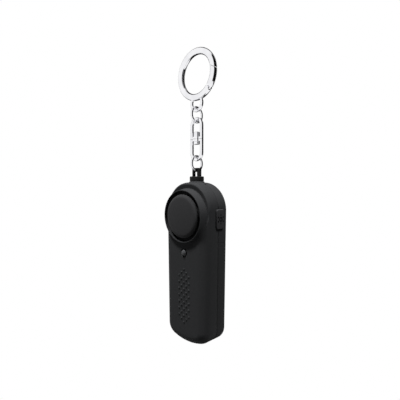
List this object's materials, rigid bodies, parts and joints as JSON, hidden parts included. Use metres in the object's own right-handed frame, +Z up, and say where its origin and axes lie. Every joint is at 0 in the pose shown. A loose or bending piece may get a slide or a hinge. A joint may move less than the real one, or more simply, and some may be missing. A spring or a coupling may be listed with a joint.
{
  "type": "personal safety alarm",
  "caption": "Pocket personal alarm: tapered dark casing with a round siren drum, side light button and battery door, hung by its pull pin from a swivel chain and a spring-gate key ring.",
  "frame": {"origin": "centre of the key ring, from which the alarm hangs", "axes": "+Z up along the hanging chain and casing, +Y towards the casing's back and through the ring, +X to the side with the light button"},
  "size_m": [0.0317, 0.0201, 0.1533],
  "materials": {
    "casing_plastic": "fine satin moulded ABS",
    "button_plastic": "satin moulded ABS",
    "pin_plastic": "satin moulded nylon",
    "inner_plastic": "plain moulded ABS",
    "gasket_rubber": "soft foam rubber",
    "sounder_brass": "bare rolled brass",
    "sounder_ceramic": "fired ceramic with silver face",
    "lead_insulation": "extruded PVC",
    "board_laminate": "solder-masked glass laminate",
    "ferrite": "ground ferrite",
    "lamp_lens": "clear epoxy",
    "contact_steel": "nickel plated",
    "cell_jacket": "printed foil jacket, left plain",
    "chrome_plate": "polished chrome plate"
  },
  "bodies": {
    "key_ring": {"key_ring": "chrome_plate", "gate_pin": "contact_steel", "gate_spring": "contact_steel"},
    "ring_gate": {"ring_gate": "chrome_plate"},
    "upper_link": {"upper_link": "chrome_plate"},
    "swivel_upper": {"swivel_upper_bail": "chrome_plate"},
    "swivel_lower": {"swivel_lower_bail": "chrome_plate", "swivel_rivet": "chrome_plate"},
    "lower_link": {"lower_link": "chrome_plate"},
    "pull_pin": {"pull_pin": "pin_plastic"},
    "casing": {"front_shell": "casing_plastic", "rear_shell": "casing_plastic", "battery_tray": "inner_plastic", "siren_cap": "casing_plastic", "siren_gasket": "gasket_rubber", "piezo_plate": "sounder_brass", "piezo_ceramic": "sounder_ceramic", "siren_holder": "inner_plastic", "piezo_leads": "lead_insulation", "circuit_board": "board_laminate", "boost_coil": "ferrite", "control_chip": "inner_plastic", "light_switch": "inner_plastic", "lamp": "lamp_lens", "lamp_leads": "contact_steel", "pin_contacts": "sounder_brass", "battery_contacts": "contact_steel", "cell_springs": "contact_steel", "series_link": "contact_steel", "cell_left": "cell_jacket", "cell_right": "cell_jacket", "shell_screws": "contact_steel", "tray_screws": "contact_steel"},
    "light_button": {"light_button": "button_plastic", "switch_plunger": "inner_plastic"},
    "battery_door": {"battery_door": "casing_plastic"}
  },
  "joints": [
    {"name": "gate_open", "type": "hinge", "parent": "key_ring", "child": "ring_gate", "pos_m": [0.00801, 0, -0.00859], "axis": [0, -1, 0], "range_deg": [0, 38], "stiffness_Nm_per_rad": 0.02, "springref_deg": -17.19},
    {"name": "upper_link_swing", "type": "hinge", "parent": "key_ring", "child": "upper_link", "pos_m": [0, 0, -0.01865], "axis": [1, 0, 0], "range_deg": [-40, 40]},
    {"name": "swivel_swing", "type": "hinge", "parent": "upper_link", "child": "swivel_upper", "pos_m": [0, 0, -0.0247], "axis": [0, 1, 0], "range_deg": [-40, 40]},
    {"name": "swivel_spin", "type": "hinge", "parent": "swivel_upper", "child": "swivel_lower", "pos_m": [0, 0, -0.03363], "axis": [0, 0, 1], "continuous": true},
    {"name": "lower_link_swing", "type": "hinge", "parent": "swivel_lower", "child": "lower_link", "pos_m": [0, 0, -0.0442], "axis": [1, 0, 0], "range_deg": [-40, 40]},
    {"name": "pin_swing", "type": "hinge", "parent": "lower_link", "child": "pull_pin", "pos_m": [0, 0, -0.05015], "axis": [0, 1, 0], "range_deg": [-40, 40]},
    {"name": "pin_pull", "type": "slide", "parent": "pull_pin", "child": "casing", "axis": [0, 0, -1], "range_m": [0, 0.02]},
    {"name": "light_press", "type": "slide", "parent": "casing", "child": "light_button", "axis": [-1, 0, 0], "range_m": [0, 0.0007], "stiffness_N_per_m": 400},
    {"name": "door_slide", "type": "slide", "parent": "casing", "child": "battery_door", "axis": [0, 0, -1], "range_m": [0, 0.055]}
  ]
}
